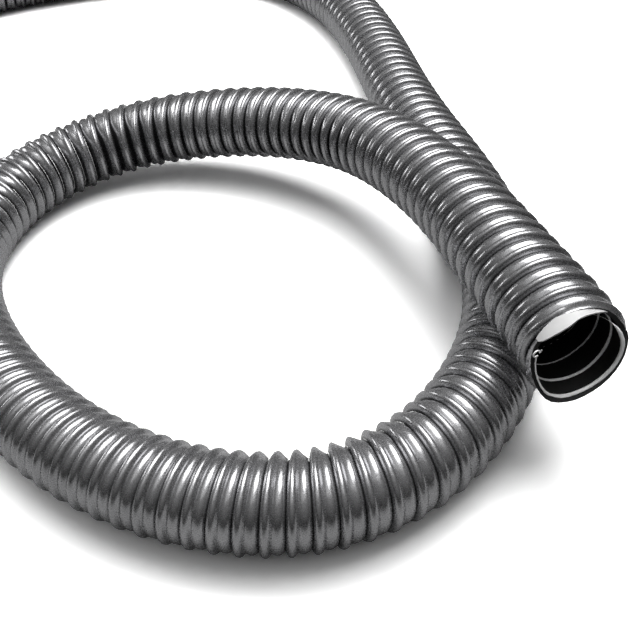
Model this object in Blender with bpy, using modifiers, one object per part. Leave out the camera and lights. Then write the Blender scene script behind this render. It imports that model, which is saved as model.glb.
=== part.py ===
# Bare spiral-wound air hose: 2 m of ribbed plastic tube, 46 mm outside and 38 mm inside.
# It lies on a flat surface in one loop. One open end rests on top of the loop.
# Metres, +Z up, the surface at z = 0.
import math

import bmesh
import bpy
import numpy as np
from mathutils import Matrix, Vector

# The wall: a strip wound left-handed, with one raised bead a turn.
BORE_RADIUS = 0.019
WALL = 0.0015  # between two beads
BEAD_HEIGHT = 0.0025
VALLEY_RADIUS = BORE_RADIUS + WALL
CREST_RADIUS = VALLEY_RADIUS + BEAD_HEIGHT
PITCH = 0.010
TURNS = 200
CREST_AT = 0.45  # where the crest lies in a pitch
SIDES = 12
LENGTH = PITCH * TURNS

# The mouth was cut by hand: its face leans up and to the right, as slopes.
MOUTH_RISE = 0.17
MOUTH_TURN = 0.05

# The bore's surface has this many rows along the hose, so that it bends smoothly.
BORE_ROWS = 90
BORE_OVERRUN = 0.007  # past both cut faces

# Middle of the hose, from the raised mouth round the loop to the far end: x, y, and how far it is
# lifted off the surface, in outside diameters. It crosses itself just over one diameter up.
ROUTE = [
    (0.183, -0.322, 1.017),
    (0.178, -0.263, 1.017),
    (0.173, -0.206, 0.950),
    (0.162, -0.150, 0.837),
    (0.141, -0.098, 0.683),
    (0.105, -0.055, 0.493),
    (0.057, -0.025, 0.307),
    (0.002, -0.012, 0.146),
    (-0.052, -0.026, 0.039),
    (-0.091, -0.067, 0.002),
    (-0.105, -0.122, 0.0),
    (-0.095, -0.178, 0.0),
    (-0.071, -0.230, 0.0),
    (-0.037, -0.276, 0.0),
    (0.007, -0.311, 0.0),
    (0.061, -0.330, 0.0),
    (0.116, -0.320, 0.0),
    (0.160, -0.285, 0.0),
    (0.189, -0.236, 0.0),
    (0.201, -0.180, 0.0),
    (0.203, -0.123, 0.0),
    (0.200, -0.066, 0.0),
    (0.199, -0.009, 0.0),
    (0.201, 0.048, 0.0),
    (0.201, 0.105, 0.0),
    (0.195, 0.162, 0.0),
    (0.179, 0.217, 0.0),
    (0.150, 0.266, 0.0),
    (0.106, 0.302, 0.0),
    (0.053, 0.3205, 0.0),
    (-0.003, 0.329, 0.0),
    (-0.060, 0.3302, 0.0),
    (-0.118, 0.3225, 0.0),
    (-0.168, 0.2945, 0.0),
    (-0.1965, 0.247, 0.0),
    (-0.2035, 0.192, 0.0),
]
MOUTH_HEADING = (0.0, 1.0, 0.0)
FAR_END_HEADING = (0.0, -1.0, 0.0)
GUIDE_STEP = 0.008  # between the points of the guide curve


def smoothRoute(points, first, last, step):
    # A cubic spline through the points with a set heading at each end, sampled at equal steps.
    p = np.array(points, float)
    p[:, 2] = CREST_RADIUS * (1.0 + 2.0 * p[:, 2])
    gap = np.linalg.norm(np.diff(p, axis=0), axis=1)
    count = len(p)
    matrix = np.zeros((count, count))
    right = np.zeros((count, 3))
    matrix[0, 0] = 1.0
    right[0] = first
    matrix[-1, -1] = 1.0
    right[-1] = last
    for i in range(1, count - 1):
        before, after = gap[i - 1], gap[i]
        matrix[i, i - 1] = after
        matrix[i, i] = 2.0 * (before + after)
        matrix[i, i + 1] = before
        right[i] = 3.0 * (after * (p[i] - p[i - 1]) / before + before * (p[i + 1] - p[i]) / after)
    slope = np.linalg.solve(matrix, right)
    fine = []
    for i in range(count - 1):
        for u in np.linspace(0.0, 1.0, 40, endpoint=False):
            h00 = (1 + 2 * u) * (1 - u) ** 2
            h10 = u * (1 - u) ** 2
            h01 = u * u * (3 - 2 * u)
            h11 = u * u * (u - 1)
            fine.append(h00 * p[i] + h10 * gap[i] * slope[i] + h01 * p[i + 1] + h11 * gap[i] * slope[i + 1])
    fine.append(p[-1])
    fine = np.array(fine)
    # The spline never dips into the surface between its points.
    fine[:, 2] = np.maximum(fine[:, 2], CREST_RADIUS)
    along = np.concatenate([[0.0], np.cumsum(np.linalg.norm(np.diff(fine, axis=0), axis=1))])
    at = np.linspace(0.0, along[-1], int(round(along[-1] / step)) + 1)
    return np.stack([np.interp(at, along, fine[:, k]) for k in range(3)], axis=1)


def newCollection(name):
    group = bpy.data.collections.new(name)
    bpy.context.scene.collection.children.link(group)
    return group


def addObject(name, data, group):
    item = bpy.data.objects.new(name, data)
    group.objects.link(item)
    return item


def addProfile(name, points, group):
    # An open line of points that a Screw modifier turns about Z.
    mesh = bpy.data.meshes.new(name)
    mesh.from_pydata(points, [(i, i + 1) for i in range(len(points) - 1)], [])
    return addObject(name, mesh, group)


def addScrew(item, offset, turns):
    screw = item.modifiers.new("Screw", "SCREW")
    screw.axis = "Z"
    screw.angle = math.tau
    screw.screw_offset = offset
    screw.iterations = turns
    screw.steps = SIDES
    screw.render_steps = SIDES
    screw.use_merge_vertices = True
    screw.merge_threshold = 0.0001


def evaluatedMesh(item):
    graph = bpy.context.evaluated_depsgraph_get()
    return bpy.data.meshes.new_from_object(item.evaluated_get(graph))


def cutAcross(form, place, outward):
    # Cuts the tube across and closes it with one flat face.
    cut = bmesh.ops.bisect_plane(
        form,
        geom=form.verts[:] + form.edges[:] + form.faces[:],
        dist=1e-7,
        plane_co=place,
        plane_no=outward,
        clear_outer=True,
    )
    rim = [e for e in cut["geom_cut"] if isinstance(e, bmesh.types.BMEdge)]
    bmesh.ops.edgeloop_fill(form, edges=rim)


def buildHose(hoses, guides):
    # Ribbed solid, wound one turn longer at each end than the hose.
    profile = [
        (VALLEY_RADIUS, 0.0, PITCH),
        (CREST_RADIUS, 0.0, PITCH * CREST_AT),
        (VALLEY_RADIUS, 0.0, 0.0),
    ]
    winding = addProfile("winding_profile", profile, guides)
    addScrew(winding, -PITCH, TURNS + 2)
    mesh = evaluatedMesh(winding)
    form = bmesh.new()
    form.from_mesh(mesh)
    bpy.data.meshes.remove(mesh)
    bmesh.ops.remove_doubles(form, verts=form.verts[:], dist=1e-5)
    lowest = min(v.co.z for v in form.verts)
    bmesh.ops.translate(form, verts=form.verts[:], vec=(0.0, 0.0, -lowest - 1.5 * PITCH))
    bmesh.ops.rotate(form, verts=form.verts[:], cent=(0, 0, 0), matrix=Matrix.Rotation(math.pi / 2, 3, "Y"))
    cutAcross(form, Vector((0.0, 0.0, 0.0)), Vector((-1.0, -MOUTH_TURN, MOUTH_RISE)).normalized())
    cutAcross(form, Vector((LENGTH, 0.0, 0.0)), Vector((1.0, 0.0, 0.0)))
    bmesh.ops.recalc_face_normals(form, faces=form.faces[:])
    if form.calc_volume(signed=True) < 0:
        bmesh.ops.reverse_faces(form, faces=form.faces[:])
    solid = bpy.data.meshes.new("hose")
    form.to_mesh(solid)
    form.free()
    hose = addObject("hose", solid, hoses)

    # Bore: a plain turned rod, longer than the hose.
    first, last = -BORE_OVERRUN, LENGTH + BORE_OVERRUN
    rows = np.linspace(last, first, BORE_ROWS)
    line = [(0.0, 0.0, last)] + [(BORE_RADIUS, 0.0, z) for z in rows] + [(0.0, 0.0, first)]
    bore = addProfile("bore_cutter", line, guides)
    addScrew(bore, 0.0, 1)
    bore.rotation_euler = (0.0, math.pi / 2, 0.0)
    bore.hide_render = True
    bore.display_type = "WIRE"

    drill = hose.modifiers.new("Bore", "BOOLEAN")
    drill.operation = "DIFFERENCE"
    drill.solver = "EXACT"
    drill.object = bore

    # The straight hose follows the route.
    points = smoothRoute(ROUTE, MOUTH_HEADING, FAR_END_HEADING, GUIDE_STEP)
    curve = bpy.data.curves.new("route_guide", "CURVE")
    curve.dimensions = "3D"
    curve.twist_mode = "Z_UP"
    spline = curve.splines.new("POLY")
    spline.points.add(len(points) - 1)
    for slot, point in zip(spline.points, points):
        slot.co = (*point, 1.0)
    guide = addObject("route_guide", curve, guides)
    guide.hide_render = True
    guide.display_type = "WIRE"

    follow = hose.modifiers.new("Follow route", "CURVE")
    follow.object = guide
    follow.deform_axis = "POS_X"

    winding.hide_render = True
    winding.display_type = "WIRE"
    for face in hose.data.polygons:
        face.use_smooth = True
    hose.data.set_sharp_from_angle(angle=math.radians(40))
    return hose


def main():
    for item in list(bpy.data.objects):
        bpy.data.objects.remove(item, do_unlink=True)
    hoses = newCollection("AirHose")
    guides = newCollection("Guides")
    hose = buildHose(hoses, guides)

    plastic = bpy.data.materials.new("silver_grey_plastic")
    plastic.use_nodes = True
    shader = plastic.node_tree.nodes["Principled BSDF"]
    shader.inputs["Base Color"].default_value = (0.36, 0.36, 0.37, 1.0)
    shader.inputs["Metallic"].default_value = 0.35
    shader.inputs["Roughness"].default_value = 0.34
    hose.data.materials.append(plastic)


main()
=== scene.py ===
import math

import bmesh
import bpy
import numpy as np
from mathutils import Matrix, Vector


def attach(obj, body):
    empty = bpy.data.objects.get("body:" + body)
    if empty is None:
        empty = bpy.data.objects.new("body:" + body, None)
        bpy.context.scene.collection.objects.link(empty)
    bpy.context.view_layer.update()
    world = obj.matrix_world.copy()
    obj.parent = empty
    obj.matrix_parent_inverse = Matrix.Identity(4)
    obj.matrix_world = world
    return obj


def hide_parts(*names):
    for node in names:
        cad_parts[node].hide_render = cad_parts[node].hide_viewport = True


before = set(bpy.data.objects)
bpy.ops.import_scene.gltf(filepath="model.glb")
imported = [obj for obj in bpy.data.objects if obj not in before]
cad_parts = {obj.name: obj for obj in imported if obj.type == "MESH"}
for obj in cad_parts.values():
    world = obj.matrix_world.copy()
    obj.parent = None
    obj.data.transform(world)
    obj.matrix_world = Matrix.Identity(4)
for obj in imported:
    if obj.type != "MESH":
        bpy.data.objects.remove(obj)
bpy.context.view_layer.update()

body = "root"
mm = 0.001  # in metres

# Middle of the hose from the raised mouth round the loop to the far end:
# x, y, and how far it is lifted off the surface, in outside diameters.
routePoints = [
    (0.183, -0.322, 1.017),
    (0.178, -0.263, 1.017),
    (0.173, -0.206, 0.95),
    (0.162, -0.150, 0.837),
    (0.141, -0.098, 0.683),
    (0.105, -0.055, 0.493),
    (0.057, -0.025, 0.307),
    (0.002, -0.012, 0.146),
    (-0.052, -0.026, 0.039),
    (-0.091, -0.067, 0.002),
    (-0.105, -0.122, 0.0),
    (-0.095, -0.178, 0.0),
    (-0.071, -0.230, 0.0),
    (-0.037, -0.276, 0.0),
    (0.007, -0.311, 0.0),
    (0.061, -0.330, 0.0),
    (0.116, -0.320, 0.0),
    (0.160, -0.285, 0.0),
    (0.189, -0.236, 0.0),
    (0.201, -0.180, 0.0),
    (0.203, -0.123, 0.0),
    (0.200, -0.066, 0.0),
    (0.199, -0.009, 0.0),
    (0.201, 0.048, 0.0),
    (0.201, 0.105, 0.0),
    (0.195, 0.162, 0.0),
    (0.179, 0.217, 0.0),
    (0.150, 0.266, 0.0),
    (0.106, 0.302, 0.0),
    (0.053, 0.3205, 0.0),
    (-0.003, 0.329, 0.0),
    (-0.060, 0.3302, 0.0),
    (-0.118, 0.3225, 0.0),
    (-0.168, 0.2945, 0.0),
    (-0.1965, 0.247, 0.0),
    (-0.2035, 0.192, 0.0),
]
mouthHeading = (0.0, 1.0, 0.0)
farEndHeading = (0.0, -1.0, 0.0)

hoseSizes = {
    "length": 2.0,
    "crestRadius": 0.023,
    "valleyRadius": 0.0205,
    "innerRadius": 0.0194,
    "innerSqueeze": 0.0019,  # how far the folds of the bends reach in behind the straight ends
    "squeezeFrom": (0.07, 0.11),  # distance from an end where the folds start, and where they are full
    "pitch": 0.010,
    "seamStart": -0.0039,  # where the seam meets the right side of the mouth
    "pathStep": 0.004,
    "lead": 0.02,  # how far the path is carried on straight ahead of the mouth
}


def smoothRoute(points, first, last, step, radius):
    # Cubic spline through the points with a set heading at each end, sampled at equal steps.
    p = np.array(points, float)
    p[:, 2] = radius * (1.0 + 2.0 * p[:, 2])
    gap = np.linalg.norm(np.diff(p, axis=0), axis=1)
    count = len(p)
    matrix = np.zeros((count, count))
    right = np.zeros((count, 3))
    matrix[0, 0] = 1.0
    right[0] = first
    matrix[-1, -1] = 1.0
    right[-1] = last
    for i in range(1, count - 1):
        before, after = gap[i - 1], gap[i]
        matrix[i, i - 1] = after
        matrix[i, i] = 2.0 * (before + after)
        matrix[i, i + 1] = before
        right[i] = 3.0 * (after * (p[i] - p[i - 1]) / before + before * (p[i + 1] - p[i]) / after)
    slope = np.linalg.solve(matrix, right)
    fine = []
    stepsBetween = 40
    for i in range(count - 1):
        for u in np.linspace(0.0, 1.0, stepsBetween, endpoint=False):
            h00 = (1 + 2 * u) * (1 - u) ** 2
            h10 = u * (1 - u) ** 2
            h01 = u * u * (3 - 2 * u)
            h11 = u * u * (u - 1)
            fine.append(h00 * p[i] + h10 * gap[i] * slope[i] + h01 * p[i + 1] + h11 * gap[i] * slope[i + 1])
    fine.append(p[-1])
    fine = np.array(fine)
    fine[:, 2] = np.maximum(fine[:, 2], radius)
    along = np.concatenate([[0.0], np.cumsum(np.linalg.norm(np.diff(fine, axis=0), axis=1))])
    at = np.linspace(0.0, along[-1], int(round(along[-1] / step)) + 1)
    return np.stack([np.interp(at, along, fine[:, k]) for k in range(3)], axis=1)


# Helpers for node trees


def addNode(tree, kind, inputs=None, **settings):
    made = tree.nodes.new(kind)
    for name, value in settings.items():
        setattr(made, name, value)
    for name, value in (inputs or {}).items():
        feed(tree, value, made.inputs[name])
    return made


def feed(tree, value, socket):
    # Links another node's output, or sets a plain value.
    if isinstance(value, bpy.types.NodeSocket):
        tree.links.new(value, socket)
    else:
        socket.default_value = value


def calc(tree, operation, *values):
    made = tree.nodes.new("ShaderNodeMath")
    made.operation = operation
    for socket, value in zip(made.inputs, values):
        feed(tree, value, socket)
    return made.outputs[0]


def plus(tree, first, second):
    return calc(tree, "ADD", first, second)


def minus(tree, first, second):
    return calc(tree, "SUBTRACT", first, second)


def times(tree, first, second):
    return calc(tree, "MULTIPLY", first, second)


def over(tree, first, second):
    return calc(tree, "DIVIDE", first, second)


def mix(tree, first, second, share):
    # The first value where the share is 0, the second where it is 1.
    return plus(tree, times(tree, first, minus(tree, 1.0, share)), times(tree, second, share))


def vectorCalc(tree, operation, *values, scale=None):
    made = tree.nodes.new("ShaderNodeVectorMath")
    made.operation = operation
    for socket, value in zip(made.inputs, values):
        feed(tree, value, socket)
    if scale is not None:
        feed(tree, scale, made.inputs["Scale"])
    return made.outputs[0]


def mapTo(tree, value, source, target=(0.0, 1.0), smooth=False):
    # Carries the value from one range, given as (low, high), to another.
    made = addNode(tree, "ShaderNodeMapRange", {
        "Value": value, "From Min": source[0], "From Max": source[1],
        "To Min": target[0], "To Max": target[1],
    }, interpolation_type="SMOOTHSTEP" if smooth else "LINEAR")
    return made.outputs["Result"]


def curveOf(tree, value, points, handle="AUTO"):
    # Float Curve through (x, y) points, x from 0 to 1.
    made = tree.nodes.new("ShaderNodeFloatCurve")
    line = made.mapping.curves[0]
    made.mapping.use_clip = False
    while len(line.points) < len(points):
        line.points.new(0.5, 0.5)
    for slot, (x, y) in zip(line.points, points):
        slot.location = (x, y)
        slot.handle_type = handle
    made.mapping.update()
    tree.links.new(value, made.inputs["Value"])
    return made.outputs[0]


def depthOf(tree, value, table, whole):
    # Depth in metres from a table of (place, millimetres), where the place runs from 0 to the whole.
    span = 20.0
    middle = 0.5
    line = curveOf(tree, value, [(place / whole, middle + depth / span) for place, depth in table])
    return times(tree, minus(tree, line, middle), span * mm)


def newTree(name, sockets):
    tree = bpy.data.node_groups.new(name, "GeometryNodeTree")
    tree.interface.new_socket("Geometry", in_out="INPUT", socket_type="NodeSocketGeometry")
    tree.interface.new_socket("Geometry", in_out="OUTPUT", socket_type="NodeSocketGeometry")
    for label, kind, value in sockets:
        made = tree.interface.new_socket(label, in_out="INPUT", socket_type=kind)
        if value is not None:
            made.default_value = value
    return tree, tree.nodes.new("NodeGroupInput").outputs


def endTree(tree, geometry):
    sink = tree.nodes.new("NodeGroupOutput")
    tree.links.new(geometry, sink.inputs["Geometry"])


def growMesh(name, base, tree, values):
    # Runs the tree on a base line and keeps the result as a plain mesh.
    holder = addObject(name + "Line", base)
    step = holder.modifiers.new(name, "NODES")
    step.node_group = tree
    for item in tree.interface.items_tree:
        if item.item_type == "SOCKET" and item.in_out == "INPUT" and item.name in values:
            step[item.identifier] = values[item.name]
    holder.update_tag()
    graph = bpy.context.evaluated_depsgraph_get()
    grown = holder.evaluated_get(graph)
    mesh = bpy.data.meshes.new_from_object(grown, preserve_all_data_layers=True, depsgraph=graph)
    bpy.data.objects.remove(holder, do_unlink=True)
    mesh.name = name
    while len(mesh.materials) and mesh.materials[0] is None:
        mesh.materials.pop(index=0)
    return addObject(name, mesh)


def addObject(name, data):
    made = bpy.data.objects.new(name, data)
    bpy.context.scene.collection.objects.link(made)
    return made


def lineMesh(name, points):
    mesh = bpy.data.meshes.new(name)
    mesh.from_pydata([tuple(p) for p in points], [(i, i + 1) for i in range(len(points) - 1)], [])
    return mesh


def finishMesh(piece, sharp):
    # Makes the faces point outwards and keeps edges above the sharp angle crisp.
    form = bmesh.new()
    form.from_mesh(piece.data)
    bmesh.ops.recalc_face_normals(form, faces=form.faces[:])
    if form.calc_volume(signed=True) < 0:
        bmesh.ops.reverse_faces(form, faces=form.faces[:])
    form.to_mesh(piece.data)
    form.free()
    piece.data.set_sharp_from_angle(angle=math.radians(sharp))


# Materials

silverLook = {
    "tone": (0.40, 0.40, 0.41, 1.0),
    # Painted shade: a dark tone is painted into the grooves between the turns, where shade falls, and gives
    # way to the full tone over the next two bead heights.
    "paintedGrooveShade": (0.05, 0.05, 0.052, 1.0),
    "grooveShadeHeights": (-0.25, 0.15),  # bead heights where the groove's tone ends and the full one starts
    "metallic": 0.88,
    "roughness": 0.25,
    "roughnessSpread": (-0.04, 0.06),
    "speckleScale": 1100.0,
    "speckleRoughness": 0.6,
    "speckleTone": (0.92, 1.08),
    "cloudScale": 35.0,
    "cloudTone": (0.94, 1.06),
    "noiseDetail": 3.0,
    "noiseRange": (0.3, 0.7),
    "bump": 0.012,
    "bumpHeight": 0.0002,
}

# The three grained plastics: the scale of their grain, its dark and its light tone, and their gloss.
# Painted light: the bead is real, but its near-white tone stands in for the light it catches in the dark
# bore. The curl at the mouth gets the same tone.
paintedLitBeadLook = {
    "scale": 420.0,
    "detail": 3.0,
    "tones": (0.88, 0.96),
    "roughness": (0.3, 0.42),
    "specular": 0.5,
}
# Painted shade: a near-black tone for the inside of the hose wall, which is really the same silver-grey
# lying in shade.
insideShadeLook = {
    "scale": 500.0,
    "detail": 2.0,
    "tones": (0.004, 0.012),
    "roughness": (0.45, 0.6),
    "specular": 0.25,
}
lipPlasticLook = {
    "scale": 260.0,
    "detail": 3.0,
    "tones": (0.35, 0.43),
    "roughness": (0.38, 0.5),
    "specular": 0.5,
}


def newMaterial(name):
    material = bpy.data.materials.new(name)
    material.use_nodes = True
    tree = material.node_tree
    where = addNode(tree, "ShaderNodeTexCoord").outputs["Object"]
    return material, tree, tree.nodes["Principled BSDF"].inputs, where


def makeSilverPlastic(look):
    # Silver-grey plastic with a fine speckle, with shade painted dark into the grooves between the turns.
    material, tree, shader, where = newMaterial("silverGreyPlastic")
    speckle = addNode(tree, "ShaderNodeTexNoise", {
        "Vector": where, "Scale": look["speckleScale"], "Detail": look["noiseDetail"],
        "Roughness": look["speckleRoughness"],
    }).outputs["Fac"]
    cloud = addNode(tree, "ShaderNodeTexNoise", {
        "Vector": where, "Scale": look["cloudScale"], "Detail": look["noiseDetail"],
    }).outputs["Fac"]
    height = addNode(tree, "ShaderNodeAttribute", attribute_name="beadHeight").outputs["Fac"]
    # Painted shade: the colour goes dark where the bead height sinks into the grooves.
    ramp = addNode(tree, "ShaderNodeValToRGB", {"Fac": mapTo(tree, height, look["grooveShadeHeights"])})
    ramp.color_ramp.elements[0].color = look["paintedGrooveShade"]
    ramp.color_ramp.elements[1].color = look["tone"]
    fine = mapTo(tree, speckle, look["noiseRange"], look["speckleTone"])
    broad = mapTo(tree, cloud, look["noiseRange"], look["cloudTone"])
    colour = vectorCalc(tree, "SCALE", ramp.outputs["Color"], scale=times(tree, fine, broad))
    bump = addNode(tree, "ShaderNodeBump", {
        "Height": speckle, "Strength": look["bump"], "Distance": look["bumpHeight"],
    })
    feed(tree, colour, shader["Base Color"])
    rough = [look["roughness"] + spread for spread in look["roughnessSpread"]]
    feed(tree, mapTo(tree, speckle, look["noiseRange"], rough), shader["Roughness"])
    feed(tree, bump.outputs["Normal"], shader["Normal"])
    feed(tree, look["metallic"], shader["Metallic"])
    return material


def makeGrainPlastic(name, look):
    # Plain grey plastic with a soft grain between a dark and a light tone.
    material, tree, shader, where = newMaterial(name)
    grain = addNode(tree, "ShaderNodeTexNoise", {
        "Vector": where, "Scale": look["scale"], "Detail": look["detail"],
    }).outputs["Fac"]
    ramp = addNode(tree, "ShaderNodeValToRGB", {"Fac": grain})
    for element, tone in zip(ramp.color_ramp.elements, look["tones"]):
        element.color = (tone, tone, tone, 1.0)
    feed(tree, ramp.outputs["Color"], shader["Base Color"])
    feed(tree, mapTo(tree, grain, (0.0, 1.0), look["roughness"]), shader["Roughness"])
    feed(tree, look["specular"], shader["Specular IOR Level"])
    return material


silver = makeSilverPlastic(silverLook)
paintedLitBead = makeGrainPlastic("innerBeadPaintedLight", paintedLitBeadLook)
paintedInsideShade = makeGrainPlastic("innerPaintedShade", insideShadeLook)
pale = makeGrainPlastic("paleLipPlastic", lipPlasticLook)
print("materials made")

# Camera of the photograph

cameraSettings = {
    "place": (0.041, -0.535, 0.3289),
    "turn": -9.0,
    "pitch": 43.824,
    "roll": -5.085,
    "lens": 46.582,
    "sensor": 36.0,
    "nearest": 0.01,
}


def makeCamera(values):
    lensData = bpy.data.cameras.new("photoCamera")
    lensData.sensor_width = values["sensor"]
    lensData.sensor_fit = "HORIZONTAL"
    lensData.lens = values["lens"]
    lensData.clip_start = values["nearest"]
    camera = addObject("photoCamera", lensData)
    turn = Matrix.Rotation(math.radians(values["turn"]), 4, "Z")
    pitch = Matrix.Rotation(math.radians(90.0 - values["pitch"]), 4, "X")
    roll = Matrix.Rotation(math.radians(values["roll"]), 4, "Z")
    camera.matrix_world = Matrix.Translation(values["place"]) @ turn @ pitch @ roll
    bpy.context.scene.camera = camera


makeCamera(cameraSettings)
print("camera placed")

# Path of the hose

lead = hoseSizes["lead"]
pathStep, crestRadius = hoseSizes["pathStep"], hoseSizes["crestRadius"]
path = smoothRoute(routePoints, mouthHeading, farEndHeading, pathStep, crestRadius)
firstWay = path[0] - path[1]
firstWay = firstWay / np.linalg.norm(firstWay)
leadPath = np.vstack([path[0] + lead * firstWay, path])
alongPath = np.concatenate([[0.0], np.cumsum(np.linalg.norm(np.diff(leadPath, axis=0), axis=1))])


def pathPoint(at):
    return np.array([np.interp(at, alongPath, leadPath[:, k]) for k in range(3)])


def ringPoint(depth, angle, radius):
    # Point at a depth past the mouth, an angle round the hose from its right side, and a radius.
    at = depth + lead
    ahead = pathPoint(min(at + pathStep, alongPath[-1])) - pathPoint(max(at - pathStep, 0.0))
    ahead /= np.linalg.norm(ahead)
    side = np.cross(ahead, (0.0, 0.0, 1.0))
    side /= np.linalg.norm(side)
    up = np.cross(side, ahead)
    return pathPoint(at) + radius * (math.cos(angle) * side + math.sin(angle) * up)


def sampleFrame(tree, curve, length):
    # Place, right side and up of the hose's path at a length from the mouth.
    at = addNode(tree, "GeometryNodeSampleCurve", {
        "Curves": curve, "Length": plus(tree, length, lead),
    }, mode="LENGTH")
    side = at.outputs["Normal"]
    up = vectorCalc(tree, "CROSS_PRODUCT", side, at.outputs["Tangent"])
    return at.outputs["Position"], side, up


def placeOnRing(tree, pathFrame, angle, radius):
    # The same point as ringPoint gives, as nodes.
    place, side, up = pathFrame
    acrossPart = vectorCalc(tree, "SCALE", side, scale=times(tree, calc(tree, "COSINE", angle), radius))
    upPart = vectorCalc(tree, "SCALE", up, scale=times(tree, calc(tree, "SINE", angle), radius))
    return vectorCalc(tree, "ADD", place, vectorCalc(tree, "ADD", acrossPart, upPart))


# Hose wall. One turn, from the seam towards the far end: groove, bead, crease, lower band.

wallLook = {
    "sides": 32,
    # Where the rows of points lie across one turn.
    "rowPlaces": (
        0.0, 0.025, 0.06, 0.11, 0.18, 0.26, 0.34, 0.40, 0.44, 0.475, 0.56, 0.66, 0.78, 0.90,
    ),
    "turnsBefore": 2,  # turns that start ahead of the mouth, and are pressed flat into its cut
    "turnsPast": 1,
    # Height over the valleys: where a bend stretches the turns, and where it presses them together.
    "openProfile": (
        (0.0, -0.25), (0.025, 0.0), (0.06, 0.46), (0.11, 0.79), (0.18, 0.96), (0.26, 0.99),
        (0.34, 0.85), (0.40, 0.58), (0.44, 0.31), (0.475, 0.18), (0.56, 0.36), (0.66, 0.49),
        (0.78, 0.48), (0.90, 0.22), (1.0, -0.25),
    ),
    "tightProfile": (
        (0.0, -0.95), (0.025, -0.80), (0.06, -0.35), (0.11, 0.20), (0.18, 0.70), (0.26, 0.96),
        (0.33, 1.02), (0.395, 0.99), (0.44, 0.91), (0.475, 0.81), (0.56, 0.50), (0.70, -0.05),
        (0.86, -0.62), (0.955, -0.90), (1.0, -0.95),
    ),
    "stretchRange": (0.79, 0.96),  # stretch at which the turns are fully pressed, and fully open
    "stretchReach": 0.002,
    # Uneven turns: how far the seam has slid along, in millimetres, by depth in millimetres.
    "seamDrift": (
        (0, -2.0), (60, -2.0), (100, -0.7), (150, 1.2), (190, 2.2), (220, 1.6), (250, -0.8),
        (280, -2.5), (310, -3.0), (340, -2.5), (370, -1.3), (400, 1.0), (430, 3.0), (490, 4.8),
        (600, 3.8), (740, 1.8), (800, 4.0), (830, 4.2), (880, 3.0), (900, 3.0), (940, 4.3),
        (1000, 2.5), (1070, 0.5), (1110, 1.0), (1200, 2.0), (1300, 0.0), (2000, 0.0),
    ),
    # The cut at the mouth: angle round the hose from its right side, and its depth in millimetres.
    "outerRim": (
        (0, 1.2), (14, 1.2), (27, 1.2), (34, 2.4), (45, 4.8), (55, 5.8), (67, 6.2), (79, 6.4), (90, 6.9),
        (101, 6.9), (113, 6.4), (127, 5.4), (142, 4.7), (153, 4.2), (165, 3.2), (177, 1.6), (190, -0.4),
        (205, -2.9), (218, -4.4), (232, -5.0), (253, -4.3), (270, -3.8), (284, -3.0), (310, -1.6),
        (337, 0.0), (360, 1.2),
    ),
    "innerRim": (
        (0, 0.5), (14, 0.8), (27, 1.4), (34, 2.8), (45, 5.0), (55, 6.1), (67, 6.4), (79, 6.6), (90, 7.1),
        (101, 7.1), (113, 6.6), (127, 5.6), (142, 4.9), (153, 4.4), (165, 3.0), (177, 1.2), (190, -0.8),
        (205, -3.2), (218, -4.6), (232, -4.9), (253, -4.4), (270, -3.9), (284, -3.1), (310, -1.8),
        (337, -0.4), (360, 0.5),
    ),
    # How high the wall stands at the cut, and how far behind the cut this fades out.
    "rimHeight": (
        (0, 0.55), (30, 0.40), (60, 0.35), (90, 0.35), (140, 0.45), (155, 0.45), (170, 0.4), (190, 0.3),
        (210, 0.35), (228, 0.6), (250, 0.8), (284, 0.85), (310, 0.85), (337, 0.7), (360, 0.55),
    ),
    "rimReach": (0.0006, 0.0028),
    # The cut end stands a little wider on its right side.
    "flare": 0.0018,
    "flareAngle": 38.0,
    "flareFade": ((0.0, 0.4), (0.03, 0.6), (0.08, 1.0), (0.35, 0.75), (0.7, 0.35), (1.0, 0.0)),
    "flareLength": 0.15,
    "mergeDistance": 0.00001,
    "sharpAngle": 50.0,
}
fullTurn = 360.0


def seamRow(tree, look, row, around, innerRows, lastRow):
    # Turn of the spiral that each row of points belongs to, and marks for the inside and the last row.
    # The rows run along the outside, then back along the inside, and the last one closes the mouth.
    rows = len(look["rowPlaces"])
    outerRows = lastRow - innerRows - 2
    pastOuter = calc(tree, "GREATER_THAN", row, outerRows + 0.5)
    closing = calc(tree, "GREATER_THAN", row, lastRow - 0.5)
    inside = minus(tree, pastOuter, closing)
    even = over(tree, row, rows)
    whole = calc(tree, "FLOOR", even)
    warp = [(i / rows, place) for i, place in enumerate(look["rowPlaces"])] + [(1.0, 1.0)]
    outerTurn = plus(tree, whole, curveOf(tree, minus(tree, even, whole), warp, "VECTOR"))
    innerTurn = minus(tree, lastRow - 1.0, row)
    outerPart = times(tree, outerTurn, minus(tree, 1.0, pastOuter))
    turn = plus(tree, outerPart, times(tree, innerTurn, inside))
    turn = minus(tree, plus(tree, turn, around), float(look["turnsBefore"]))
    return turn, inside, closing


def bendStretch(tree, look, curve, along, angle, radius):
    # How far a bend pulls the crests apart here: 1 where the hose is straight.
    reach = look["stretchReach"]
    ahead = placeOnRing(tree, sampleFrame(tree, curve, plus(tree, along, reach)), angle, radius)
    behind = placeOnRing(tree, sampleFrame(tree, curve, minus(tree, along, reach)), angle, radius)
    apart = addNode(tree, "ShaderNodeVectorMath", {0: ahead, 1: behind}, operation="DISTANCE")
    return over(tree, apart.outputs["Value"], 2.0 * reach)


def wallHeight(tree, look, phase, stretch, behindRim, around):
    # Height over the valleys, as a share of the bead's height.
    opened = mapTo(tree, stretch, look["stretchRange"], smooth=True)
    openHeight = curveOf(tree, phase, look["openProfile"])
    tightHeight = curveOf(tree, phase, look["tightProfile"])
    height = mix(tree, tightHeight, openHeight, opened)
    nearRim = mapTo(tree, behindRim, look["rimReach"], (1.0, 0.0), smooth=True)
    edge = curveOf(tree, around, [(a / fullTurn, h) for a, h in look["rimHeight"]], "VECTOR")
    return plus(tree, height, times(tree, nearRim, minus(tree, edge, height)))


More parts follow.
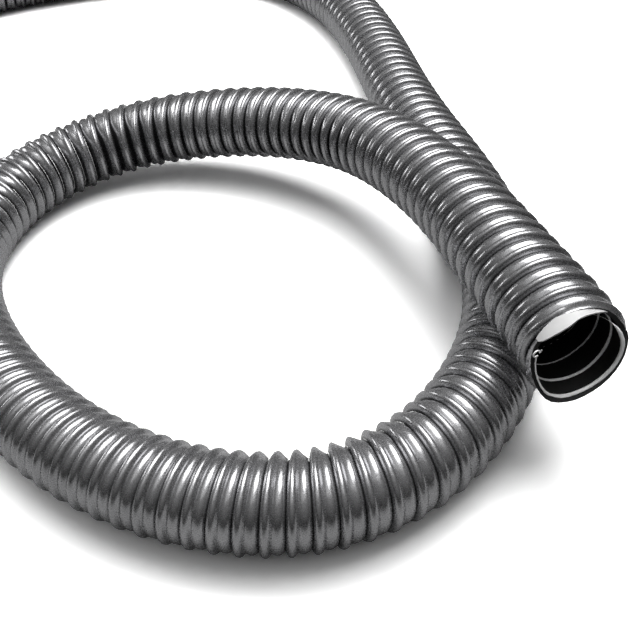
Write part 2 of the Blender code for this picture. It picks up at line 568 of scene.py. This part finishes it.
def mouthFlare(tree, look, along, angle):
    # Extra radius at the cut end, widest on its right side, which fades out along the hose.
    share = calc(tree, "MAXIMUM", over(tree, along, look["flareLength"]), 0.0)
    fade = curveOf(tree, share, look["flareFade"])
    turned = minus(tree, angle, math.radians(look["flareAngle"]))
    lean = calc(tree, "MAXIMUM", calc(tree, "COSINE", turned), 0.0)
    within = calc(tree, "LESS_THAN", along, look["flareLength"])
    return times(tree, times(tree, times(tree, fade, lean), within), look["flare"])


def storeValue(tree, geometry, name, value):
    made = addNode(tree, "GeometryNodeStoreNamedAttribute", {
        "Geometry": geometry, "Name": name, "Value": value,
    }, data_type="FLOAT", domain="POINT")
    return made.outputs[0]


def wallTree(look, sizes):
    innerRows = int(round(sizes["length"] / sizes["pitch"])) + look["turnsBefore"] + look["turnsPast"]
    lastRow = innerRows * len(look["rowPlaces"]) + innerRows + 2
    tree, pull = newTree("spiralWall", [
        ("Length", "NodeSocketFloat", sizes["length"]),
        ("Pitch", "NodeSocketFloat", sizes["pitch"]),
        ("Seam start", "NodeSocketFloat", sizes["seamStart"]),
        ("Crest radius", "NodeSocketFloat", sizes["crestRadius"]),
        ("Valley radius", "NodeSocketFloat", sizes["valleyRadius"]),
        ("Inner radius", "NodeSocketFloat", sizes["innerRadius"]),
        ("Inner squeeze", "NodeSocketFloat", sizes["innerSqueeze"]),
        ("Wall material", "NodeSocketMaterial", None),
        ("Inner material", "NodeSocketMaterial", None),
    ])
    length = pull["Length"]
    curve = addNode(tree, "GeometryNodeMeshToCurve", {"Mesh": pull["Geometry"]}).outputs["Curve"]
    curve = addNode(tree, "GeometryNodeSetCurveNormal", {"Curve": curve}, mode="Z_UP").outputs["Curve"]
    grid = addNode(tree, "GeometryNodeMeshGrid", {
        "Size X": 1.0, "Size Y": 1.0, "Vertices X": lastRow + 1, "Vertices Y": look["sides"] + 1,
    }).outputs["Mesh"]
    spot = addNode(tree, "ShaderNodeSeparateXYZ", {
        "Vector": addNode(tree, "GeometryNodeInputPosition").outputs[0],
    })
    row = calc(tree, "ROUND", times(tree, plus(tree, spot.outputs["X"], 0.5), lastRow))
    around = plus(tree, spot.outputs["Y"], 0.5)
    angle = times(tree, around, math.tau)

    # Depth past the mouth, kept between the cut and the far end.
    turn, inside, closing = seamRow(tree, look, row, around, innerRows, lastRow)
    even = plus(tree, pull["Seam start"], times(tree, turn, pull["Pitch"]))
    drift = depthOf(tree, over(tree, even, length), look["seamDrift"], sizes["length"] / mm)
    outerCut = depthOf(tree, around, look["outerRim"], fullTurn)
    innerCut = depthOf(tree, around, look["innerRim"], fullTurn)
    rim = mix(tree, outerCut, innerCut, inside)
    along = calc(tree, "MAXIMUM", plus(tree, even, drift), rim)
    along = mix(tree, calc(tree, "MINIMUM", along, length), rim, closing)

    # Radius on the outside and on the inside.
    fromSeam = minus(tree, minus(tree, along, drift), pull["Seam start"])
    phase = calc(tree, "FRACT", minus(tree, over(tree, fromSeam, pull["Pitch"]), around))
    stretch = bendStretch(tree, look, curve, along, angle, pull["Crest radius"])
    height = wallHeight(tree, look, phase, stretch, minus(tree, along, rim), around)
    relief = minus(tree, pull["Crest radius"], pull["Valley radius"])
    outer = plus(tree, pull["Valley radius"], times(tree, height, relief))
    nearEnd = calc(tree, "MINIMUM", along, minus(tree, length, along))
    squeeze = mapTo(tree, nearEnd, sizes["squeezeFrom"], smooth=True)
    inner = minus(tree, pull["Inner radius"], times(tree, squeeze, pull["Inner squeeze"]))
    radius = plus(tree, mix(tree, outer, inner, inside), mouthFlare(tree, look, along, angle))
    place = placeOnRing(tree, sampleFrame(tree, curve, along), angle, radius)

    kept = storeValue(tree, grid, "beadHeight", height)
    kept = storeValue(tree, kept, "isInside", inside)
    moved = addNode(tree, "GeometryNodeSetPosition", {"Geometry": kept, "Position": place}).outputs[0]
    merged = addNode(tree, "GeometryNodeMergeByDistance", {
        "Geometry": moved, "Distance": look["mergeDistance"],
    }).outputs[0]
    smooth = addNode(tree, "GeometryNodeSetShadeSmooth", {"Geometry": merged}).outputs[0]
    real = addNode(tree, "GeometryNodeRealizeInstances", {"Geometry": smooth}).outputs[0]
    painted = addNode(tree, "GeometryNodeSetMaterial", {
        "Geometry": real, "Material": pull["Wall material"],
    }).outputs[0]
    # A face gets the inside's painted shade when any of its corners is inside.
    anyInside = 0.1
    mark = addNode(tree, "GeometryNodeInputNamedAttribute", {"Name": "isInside"}, data_type="FLOAT")
    painted = addNode(tree, "GeometryNodeSetMaterial", {
        "Geometry": painted, "Material": pull["Inner material"],
        "Selection": calc(tree, "GREATER_THAN", mark.outputs["Attribute"], anyInside),
    }).outputs[0]
    endTree(tree, painted)
    return tree


wall = growMesh("hoseWall", lineMesh("hosePath", leadPath), wallTree(wallLook, hoseSizes), {
    "Wall material": silver, "Inner material": paintedInsideShade,
})
finishMesh(wall, wallLook["sharpAngle"])
print("hose wall:", len(wall.data.polygons), "faces")

# Bead that runs round the inside, painted pale in place of the light it catches

beadLook = {
    "ringRadius": 0.0195,
    "segments": 36,
    "rodSides": 6,
    "endGap": 0.004,
    # Rod radius in millimetres by angle from the curl on: thin at its start, and thin again deeper in.
    "thickness": (
        (160, 0.32), (200, 0.35), (225, 0.7), (245, 0.95), (385, 0.9), (398, 0.45), (406, 0.03),
        (541, 0.03), (570, 0.6), (600, 0.75), (700, 0.7), (760, 0.4), (900, 0.35), (1100, 0.5),
        (1200, 0.4), (1260, 0.12),
    ),
    # Where the first ring follows the cut face: angle from the curl, and its depth in millimetres.
    "start": (
        (165, 2.2), (177, 1.0), (190, -1.0), (205, -3.3), (218, -4.5), (250, -3.5), (271, -2.3),
        (292, -1.5), (314, -0.8), (337, -0.2), (374, 0.7), (393, 2.3), (409, 3.4), (430, 5.5),
        (450, 6.7), (500, 6.7), (541, 5.8), (560, 5.4), (581, 5.4), (614, 6.3), (658, 7.1),
        (703, 9.0), (734, 9.8),
    ),
    "sharpAngle": 60.0,
}


def meshPiece(name, points, faces, material):
    # New smooth object from points and faces.
    mesh = bpy.data.meshes.new(name)
    mesh.from_pydata([tuple(p) for p in points], [], faces)
    mesh.materials.append(material)
    for face in mesh.polygons:
        face.use_smooth = True
    return addObject(name, mesh)


def tubeMesh(name, centres, radius, sides, material):
    # Closed round rod through the centres, its ends capped.
    centres = np.array(centres, float)
    ahead = np.gradient(centres, axis=0)
    ahead /= np.linalg.norm(ahead, axis=1)[:, None]
    normal = np.cross(ahead[0], (0.0, 0.0, 1.0))
    nearlyUpright = 0.1
    if np.linalg.norm(normal) < nearlyUpright:
        normal = np.cross(ahead[0], (1.0, 0.0, 0.0))
    points, faces = [], []
    count = len(centres)
    radii = np.broadcast_to(np.asarray(radius, float), (count,))
    for i in range(count):
        normal = normal - ahead[i] * np.dot(normal, ahead[i])
        normal /= np.linalg.norm(normal)
        other = np.cross(ahead[i], normal)
        for k in range(sides):
            a = math.tau * k / sides
            points.append(centres[i] + radii[i] * (math.cos(a) * normal + math.sin(a) * other))
    for i in range(count - 1):
        for k in range(sides):
            a, b = i * sides + k, i * sides + (k + 1) % sides
            faces.append((a, b, b + sides, a + sides))
    faces.append(tuple(range(sides))[::-1])
    faces.append(tuple((count - 1) * sides + k for k in range(sides)))
    piece = meshPiece(name, points, faces, material)
    piece.data.polygons[-1].use_smooth = False
    piece.data.polygons[-2].use_smooth = False
    return piece


def makeInnerBead(look, sizes, material):
    table = np.array(look["start"], float)
    girth = np.array(look["thickness"], float)
    lastAngle, lastTableDepth = table[-1]
    centres, radii = [], []
    angle = table[0, 0]
    depth = table[0, 1] * mm
    while depth <= sizes["length"] - look["endGap"]:
        centres.append(ringPoint(depth, math.radians(angle), look["ringRadius"]))
        radii.append(np.interp(angle, girth[:, 0], girth[:, 1]) * mm)
        angle += fullTurn / look["segments"]
        if angle <= lastAngle:
            depth = np.interp(angle, table[:, 0], table[:, 1]) * mm
        else:
            depth = lastTableDepth * mm + (angle - lastAngle) / fullTurn * sizes["pitch"]
    return tubeMesh("innerBead", centres, radii, look["rodSides"], material)


innerBead = makeInnerBead(beadLook, hoseSizes, paintedLitBead)
finishMesh(innerBead, beadLook["sharpAngle"])
print("inner bead:", len(innerBead.data.polygons), "faces")

# Pale lip at the top of the mouth

lipLook = {
    "thickness": 0.0007,
    "radius": 0.0216,
    "angles": (44.0, 147.0),
    "rows": 53,
    "across": 6,
    # Angle from the hose's right side, and depth in millimetres, of its front and back edges.
    "frontEdge": (
        (49, 6.5), (69, 4.4), (83, 3.4), (96, 2.4), (110, 0.4), (122, 0.1), (134, 1.0), (142, 2.0),
        (147, 3.8),
    ),
    "backEdge": (
        (34, 8.2), (51, 8.8), (67, 8.9), (79, 8.9), (90, 9.2), (101, 9.2), (113, 8.5), (127, 7.4),
        (142, 6.4), (153, 5.4),
    ),
    "sharpAngle": 40.0,
}


def makeLip(look, material):
    # Pale band of the last turn that shows past the cut wall on top of the mouth.
    front = np.array(look["frontEdge"], float)
    back = np.array(look["backEdge"], float)
    rows, across = look["rows"], look["across"]
    half = look["thickness"] / 2.0
    points, faces = [], []
    for layer in (half, -half):
        for angle in np.linspace(*look["angles"], rows):
            f = np.interp(angle, front[:, 0], front[:, 1])
            b = np.interp(angle, back[:, 0], back[:, 1])
            for k in range(across + 1):
                depth = (f + (b - f) * k / across) * mm
                points.append(ringPoint(depth, math.radians(angle), look["radius"] + layer))
    wide = across + 1
    below = rows * wide
    for i in range(rows - 1):
        for k in range(across):
            a = i * wide + k
            faces.append((a, a + 1, a + wide + 1, a + wide))
            faces.append((below + a, below + a + wide, below + a + wide + 1, below + a + 1))
    edge = [i * wide for i in range(rows)] + [(rows - 1) * wide + k for k in range(1, wide)]
    edge += [i * wide + across for i in range(rows - 2, -1, -1)] + [k for k in range(across - 1, 0, -1)]
    for a, b in zip(edge, edge[1:] + edge[:1]):
        faces.append((a, b, below + b, below + a))
    return meshPiece("mouthLip", points, faces, material)


mouthLip = makeLip(lipLook, pale)
finishMesh(mouthLip, lipLook["sharpAngle"])
print("mouth lip made")

# Small curl at the left of the mouth

curlLook = {
    "depth": 1.6,  # of its centre, in millimetres
    "angle": 160.0,
    "radius": 0.0206,
    "halfWide": 0.0012,
    "halfTall": 0.0018,
    "rodRadius": 0.00036,
    "rodSides": 8,
    "opening": 50.0,
    "steps": 22,
    "tail": 0.0014,
    "tailWay": (0.6, -0.8),  # across and outwards
    "tailSink": 0.0004,
    "probe": 0.002,
    "sharpAngle": 60.0,
}


def makeCurl(look, material):
    # Thin end of the cut strip, curled into a small open ring with a short tail.
    depth, angle, radius = look["depth"] * mm, math.radians(look["angle"]), look["radius"]
    centre = ringPoint(depth, angle, radius)
    ahead = ringPoint(depth + look["probe"], angle, radius) - centre
    ahead /= np.linalg.norm(ahead)
    out = centre - ringPoint(depth, angle, 0.0)
    out /= np.linalg.norm(out)
    across = np.cross(ahead, out)
    centres = []
    swing = math.radians(180.0 - look["opening"] / 2.0)
    for a in np.linspace(-swing, swing, look["steps"] + 1):
        outPart = look["halfWide"] * math.cos(a) * out
        centres.append(centre + outPart + look["halfTall"] * math.sin(a) * across)
    last = centres[-1]
    tailWay = look["tailWay"][0] * across + look["tailWay"][1] * out
    for k in (1, 2):
        centres.append(last + look["tail"] * k / 2.0 * tailWay + look["tailSink"] * k * ahead)
    return tubeMesh("mouthCurl", centres, look["rodRadius"], look["rodSides"], material)


mouthCurl = makeCurl(curlLook, paintedLitBead)
finishMesh(mouthCurl, curlLook["sharpAngle"])
print("mouth curl made")

# What the frame is told

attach(wall, body)
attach(innerBead, body)
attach(mouthLip, body)
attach(mouthCurl, body)
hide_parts("hose")

# Floor and light

floorLook = {
    "halfWide": 12.0,
    "tone": 0.26,
    "reach": (0.40, 0.75),  # how far from the middle its light starts to fall off, and where it ends
    "farTone": 0.02,
    "shown": 1.3,  # tone that the camera sees, so that the lit floor is plain white
    "farWhite": (0.7, 1.2),
}

worldLook = {
    "low": 0.0,  # the room at eye level, and overhead
    "high": 0.28,
    "rise": (0.12, 1.0),
}

# All lamps face one point near the middle of the loop. The key lamp and the top panel are the soft light
# from above. The back and left lamps shape the floor's shadows, and aren't mirrored in the plastic.
lampAim = (0.03, -0.1, 0.0)
lampLook = {
    "keyLamp": {"place": (0.38, 0.0, 1.2), "size": (0.95, 1.0), "power": 15.0, "mirrored": True},
    "topPanel": {"place": (0.0, -0.4, 2.4), "size": (3.0, 2.4), "power": 12.0, "mirrored": True},
    "backLamp": {"place": (0.36, 0.33, 1.2), "size": (0.7, 0.6), "power": 15.0, "mirrored": False},
    "leftLamp": {"place": (-0.35, 0.40, 1.2), "size": (0.7, 0.6), "power": 5.0, "mirrored": False},
    # Stands low on the left, and shows as a second gleam on the raised end.
    "lowLamp": {"place": (-1.0, 0.75, 0.42), "size": (0.5, 0.35), "power": 2.6, "mirrored": True},
}


def makeFloor(look):
    mesh = bpy.data.meshes.new("whiteFloor")
    wide = look["halfWide"]
    corners = [(-wide, -wide, 0.0), (wide, -wide, 0.0), (wide, wide, 0.0), (-wide, wide, 0.0)]
    mesh.from_pydata(corners, [], [(0, 1, 2, 3)])
    material = bpy.data.materials.new("whiteFloor")
    material.use_nodes = True
    tree = material.node_tree
    tree.nodes.remove(tree.nodes["Principled BSDF"])
    ray = addNode(tree, "ShaderNodeLightPath").outputs["Is Camera Ray"]
    where = addNode(tree, "ShaderNodeTexCoord").outputs["Object"]
    away = addNode(tree, "ShaderNodeVectorMath", {0: where}, operation="LENGTH").outputs["Value"]
    near = mapTo(tree, away, look["reach"], (look["tone"], look["farTone"]), smooth=True)
    tone = mapTo(tree, ray, (0.0, 1.0), (near, look["shown"]))
    paint = addNode(tree, "ShaderNodeBsdfDiffuse", {"Color": tone})
    # Far from the hose, where the lamps no longer reach, the camera sees plain white.
    far = mapTo(tree, away, look["farWhite"], smooth=True)
    plain = addNode(tree, "ShaderNodeEmission", {"Strength": 1.0})
    both = addNode(tree, "ShaderNodeMixShader", {
        "Fac": times(tree, far, ray), 1: paint.outputs["BSDF"], 2: plain.outputs["Emission"],
    })
    tree.links.new(both.outputs["Shader"], tree.nodes["Material Output"].inputs["Surface"])
    mesh.materials.append(material)
    floor = addObject("whiteFloor", mesh)


def makeLamp(name, look, target):
    lamp = bpy.data.lights.new(name, "AREA")
    lamp.shape = "RECTANGLE"
    lamp.size, lamp.size_y = look["size"]
    lamp.energy = look["power"]
    holder = addObject(name, lamp)
    holder.visible_glossy = look["mirrored"]
    aim = Vector(target) - Vector(look["place"])
    turned = aim.to_track_quat("-Z", "Y").to_matrix().to_4x4()
    holder.matrix_world = Matrix.Translation(look["place"]) @ turned


def makeWorld(look):
    # Dark at eye level and lighter overhead, as in a room with its lights above.
    world = bpy.data.worlds.new("softSky")
    bpy.context.scene.world = world
    world.use_nodes = True
    tree = world.node_tree
    sky = tree.nodes["Background"]
    way = addNode(tree, "ShaderNodeSeparateXYZ", {
        "Vector": addNode(tree, "ShaderNodeTexCoord").outputs["Generated"],
    })
    rise = mapTo(tree, way.outputs["Z"], look["rise"], (look["low"], look["high"]))
    ray = addNode(tree, "ShaderNodeLightPath").outputs["Is Camera Ray"]
    feed(tree, calc(tree, "MAXIMUM", rise, ray), sky.inputs["Strength"])
    feed(tree, (1.0, 1.0, 1.0, 1.0), sky.inputs["Color"])


makeFloor(floorLook)
makeWorld(worldLook)
for lampName, lampValues in lampLook.items():
    makeLamp(lampName, lampValues, lampAim)
bpy.context.scene.view_settings.view_transform = "Standard"
print("floor and light set")
